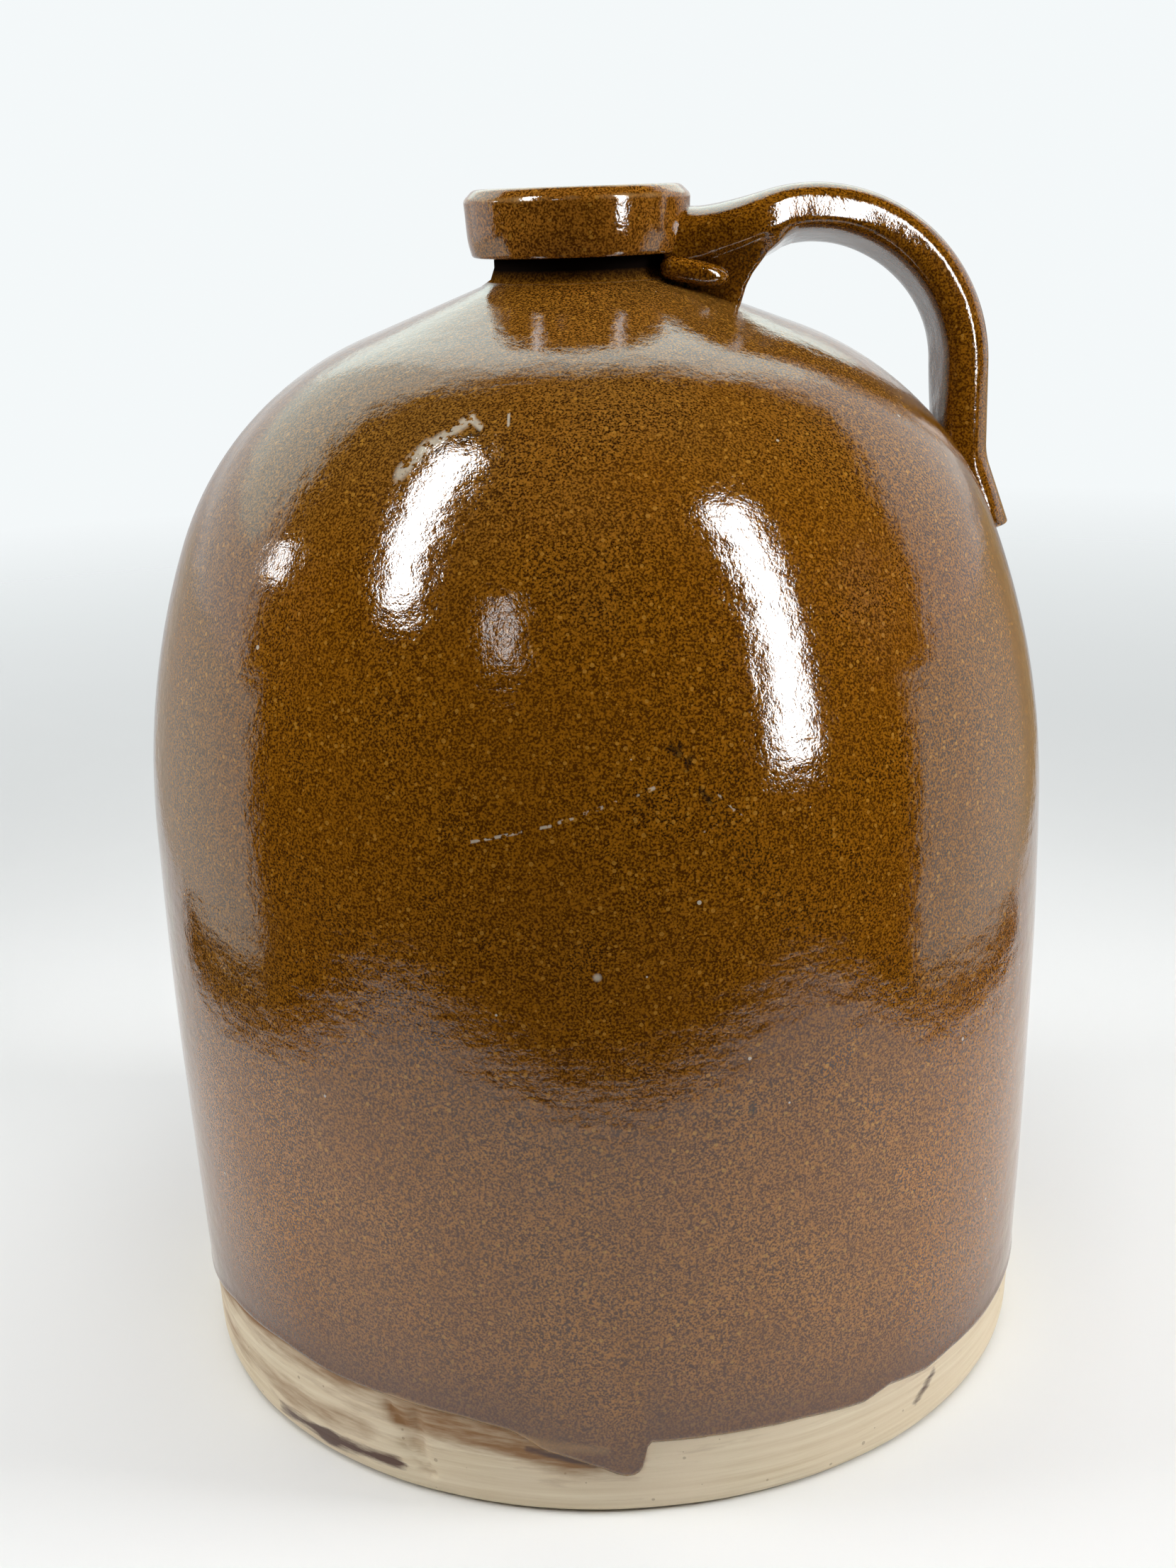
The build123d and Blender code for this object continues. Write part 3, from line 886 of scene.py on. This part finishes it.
def stage_sheet(name, grid, material):
    """A sheet of the room, from a grid in metres; its attribute "share" goes from 0 on the first row to
    1 on the last."""
    rows, columns = grid.shape[:2]
    share = np.repeat(np.linspace(0, 1, rows), columns)
    faces = grid_faces(rows, columns, False, False)
    sheet = mesh_object(name, grid.reshape(-1, 3), faces, material, {"share": share})
    return sheet


floor_material, tree, alpha = plain_material("floor_white", floor_white)
far = vector_node(tree, "LENGTH", object_place(tree))
tree.links.new(remap(tree, far, floor_solid_to, floor_gone_at, 1.0, 0.0), alpha)
floor_turns = np.linspace(0, 2 * math.pi, 97)
floor_radius = np.linspace(0.02, 1.7, 20)[:, None]
stage_sheet("floor", spun(floor_radius, 0.0, floor_turns), floor_material)

world = bpy.data.worlds.new("white_room")
bpy.context.scene.world = world
world.use_nodes = True
background = world.node_tree.nodes["Background"]
background.inputs["Color"].default_value = room_white
background.inputs["Strength"].default_value = 1.0
print("floor and world")

# %% [markdown]
# A glossy pot shows the whole room. It was dark in front and overhead, and the jug stood on a
# small white board. So one dark card arches over the front and the ceiling, with a soft lower
# edge, and another lies on the floor beyond the board. The camera doesn't see them.

# %% Dark cards
black = (0.006, 0.006, 0.006, 1)
board_half, board_power = 0.25, 7
ceiling_radius, ceiling_soft_share = 1.5, 0.09
ceiling_azimuth = [-180, -146, -132, -110, -99, -96, 91, 94, 97, 103, 128, 134, 146, 170, 180]
ceiling_low = [61, 56, 45, 31, 17, -24, -24, 4, 18, 31, 41, 49, 55, 59, 61]


def only_in_reflections(thing):
    """The thing shows in glossy reflections and nowhere else."""
    thing.visible_camera = thing.visible_diffuse = thing.visible_transmission = thing.visible_shadow = False


def directions(azimuth, rise):
    """Unit vectors to (azimuth, elevation) in degrees; azimuth 0 is the camera's side, and 90 the right."""
    turn, rise = np.broadcast_arrays(np.radians(azimuth), np.radians(rise))
    return np.stack([np.cos(rise) * np.sin(turn), -np.cos(rise) * np.cos(turn), np.sin(rise)], axis=-1)


def dome_patch(azimuth, low, high, radius, rows=24):
    """Points on a sphere round the jug, at these azimuths, the elevation going from low to high."""
    share = np.linspace(0, 1, rows)[:, None]
    return radius * directions(azimuth, low + (high - low) * share) + np.array([0, 0, 0.1])


card_azimuth = np.linspace(-180, 180, 241)
card_low = np.interp(card_azimuth, ceiling_azimuth, ceiling_low)
ceiling_black, tree, alpha = plain_material("dark_ceiling", black)
tree.links.new(remap(tree, read_field(tree, "share"), 0.0, ceiling_soft_share), alpha)
ceiling = stage_sheet("dark_ceiling", dome_patch(card_azimuth, card_low, 90, ceiling_radius, rows=48),
                      ceiling_black)
ceiling.visible_camera = False

dark_turns = np.radians(np.linspace(-207, 27, 118))
board_edge = sum(np.abs(f) ** board_power for f in (np.cos(dark_turns), np.sin(dark_turns)))
board_edge = board_half / board_edge ** (1 / board_power)
dark_radius = board_edge + (1.6 - board_edge) * np.linspace(0, 1, 6)[:, None]
dark_floor = spun(dark_radius, 0.001, dark_turns)
only_in_reflections(stage_sheet("dark_floor", dark_floor, plain_material("black_card", black)[0]))
print("two dark cards")

# %% [markdown]
# The white that the pot mirrors is glowing sheets that only reflections see: two tall panels
# behind it, which dim towards their tops, two low walls beside it, which turn warmer at the
# back, and two grey cards low down, for the darker edges of the pot.

# %% Panels, walls and grey cards
panel_white, wall_white, card_white = (0.86, 1.0, 0.96, 1), (0.86, 0.90, 0.84, 1), (1, 1, 1, 1)
panel_fade = (0.78, 1.0)
wall_turns_warm = (0.04, 0.24)


def glowing_material(name, colour, strength, fade=None, far_colour=None):
    """A surface that gives off light. With a fade, it dims to nothing between those shares of its
    rows; a far colour takes over towards the back."""
    material, tree, shader = new_material(name)
    tree.nodes.remove(shader)
    if fade:
        strength = remap(tree, read_field(tree, "share"), *fade, strength, 0.0)
    if far_colour:
        back = add_node(tree, "ShaderNodeSeparateXYZ", {0: object_place(tree)}).outputs["Y"]
        colour = blend(tree, remap(tree, back, *wall_turns_warm), colour, far_colour)
    glow = add_node(tree, "ShaderNodeEmission", {"Color": colour, "Strength": strength})
    tree.links.new(glow.outputs[0], tree.nodes["Material Output"].inputs["Surface"])
    return material


def glowing_sheet(name, grid, *look, **more):
    """A glowing sheet that only reflections see."""
    only_in_reflections(stage_sheet(name, grid, glowing_material(name, *look, **more)))


for name, low_turn, high_turn, strength in (("back", 142, 205, 2.15), ("left", 205, 250, 1.45)):
    panel_azimuth = np.linspace(low_turn, high_turn, 40)
    panel_high = np.interp((panel_azimuth + 180) % 360 - 180, [-180, -146, -132, -110, 137, 146, 170, 180],
                           [69, 64, 53, 39, 57, 63, 67, 69])
    panel = dome_patch(panel_azimuth, 20, panel_high, 1.45)
    glowing_sheet("white_panel_" + name, panel, panel_white, strength, fade=panel_fade)

wall_height = np.linspace(0.0, 0.178, 3)[:, None]
for name, wall_x, wall_front, far_tint in (("left", -0.315, -0.05, (0.60, 0.58, 0.52, 1)),
                                           ("right", 0.29, -0.09, (0.42, 0.33, 0.20, 1))):
    wall_y = np.linspace(wall_front, 0.45, 6)
    wall = np.stack(np.broadcast_arrays(wall_x, wall_y, wall_height), axis=-1)
    glowing_sheet("white_wall_" + name, wall, wall_white, 1.0, far_colour=far_tint)

for name, middle, strength in (("left", -151, 0.62), ("right", 151, 0.38)):
    grey_card = dome_patch(np.linspace(middle - 14, middle + 14, 12), -14, 7, 1.3, rows=6)
    glowing_sheet("grey_card_" + name, grey_card, card_white, strength)
print("two white panels, two white walls, two grey cards")

# %% [markdown]
# Two strip lights make the two tall highlights, and two small lamps the spots, one left of both
# and one between them. Each is an area lamp placed by the directions in which its ends are seen from the pot, so it
# can be slid along the reflection until the highlight sits right.

# %% Strip lights
pot_middle = np.array([0, 0, 0.15])


def strip_light(name, low, high, distance, width, radiance):
    """A lamp whose middle line runs between two directions from the pot, each (azimuth, elevation) in
    degrees, and which faces the pot; its power is radiance times pi times its area."""
    ends = distance * directions(*np.array([low, high], float).T)
    length = np.linalg.norm(ends[1] - ends[0])
    middle = ends.mean(axis=0)
    away = unit(middle)
    up = (ends[1] - ends[0]) / length
    up = unit(up - (up @ away) * away)
    data = bpy.data.lights.new(name, "AREA")
    data.shape = "RECTANGLE"
    data.size, data.size_y = width, length
    data.energy = radiance * math.pi * width * length
    light = add_object(name, data)
    axes = np.stack([np.cross(up, away), up, away, middle + pot_middle], axis=1)
    light.matrix_world = Matrix(np.vstack([axes, [0, 0, 0, 1]]).tolist())
    only_in_reflections(light)
    print(name, "%.1f W" % data.energy)


strip_light("strip_right", low=(44, 2), high=(48, 50), distance=0.5, width=0.066, radiance=24)
strip_light("strip_left", low=(-49, 24), high=(-72, 66), distance=0.5, width=0.066, radiance=24)
strip_light("lamp_left", low=(-93, 18), high=(-93, 25), distance=0.6, width=0.04, radiance=16)
strip_light("lamp_front", low=(-20, 20), high=(-22, 28), distance=0.6, width=0.042, radiance=6)

# %% [markdown]
# The soft light on the clay, the floor and the glaze's own colour comes from one large lamp
# overhead and a weak one on each side. They have no mirror image, because the strips and the
# panels already are what the glaze mirrors.

# %% Soft boxes
def soft_box(name, place, tilt, turn, size, energy, spread=180):
    """A square lamp that lights the surfaces inside its cone of spread degrees."""
    data = bpy.data.lights.new(name, "AREA")
    data.size, data.energy, data.spread = size, energy, math.radians(spread)
    light = add_object(name, data)
    light.matrix_world = (Matrix.Translation(place) @ Matrix.Rotation(math.radians(turn), 4, "Z")
                          @ Matrix.Rotation(math.radians(tilt), 4, "X"))
    light.visible_camera = light.visible_glossy = False
    print(name, energy, "W")


soft_box("soft_box_overhead", place=(0.0, -0.36, 1.1), tilt=12, turn=0, size=0.8, energy=8.6)
soft_box("soft_box_right", place=(0.80, -0.14, 0.42), tilt=70, turn=80, size=0.3, energy=0.67, spread=60)
soft_box("soft_box_left", place=(-0.80, -0.08, 0.42), tilt=70, turn=-85, size=0.3, energy=0.43, spread=60)

# %% [markdown]
# The colours are shown as they are, with no film curve.

# %% Finish
bpy.context.scene.view_settings.view_transform = "Standard"
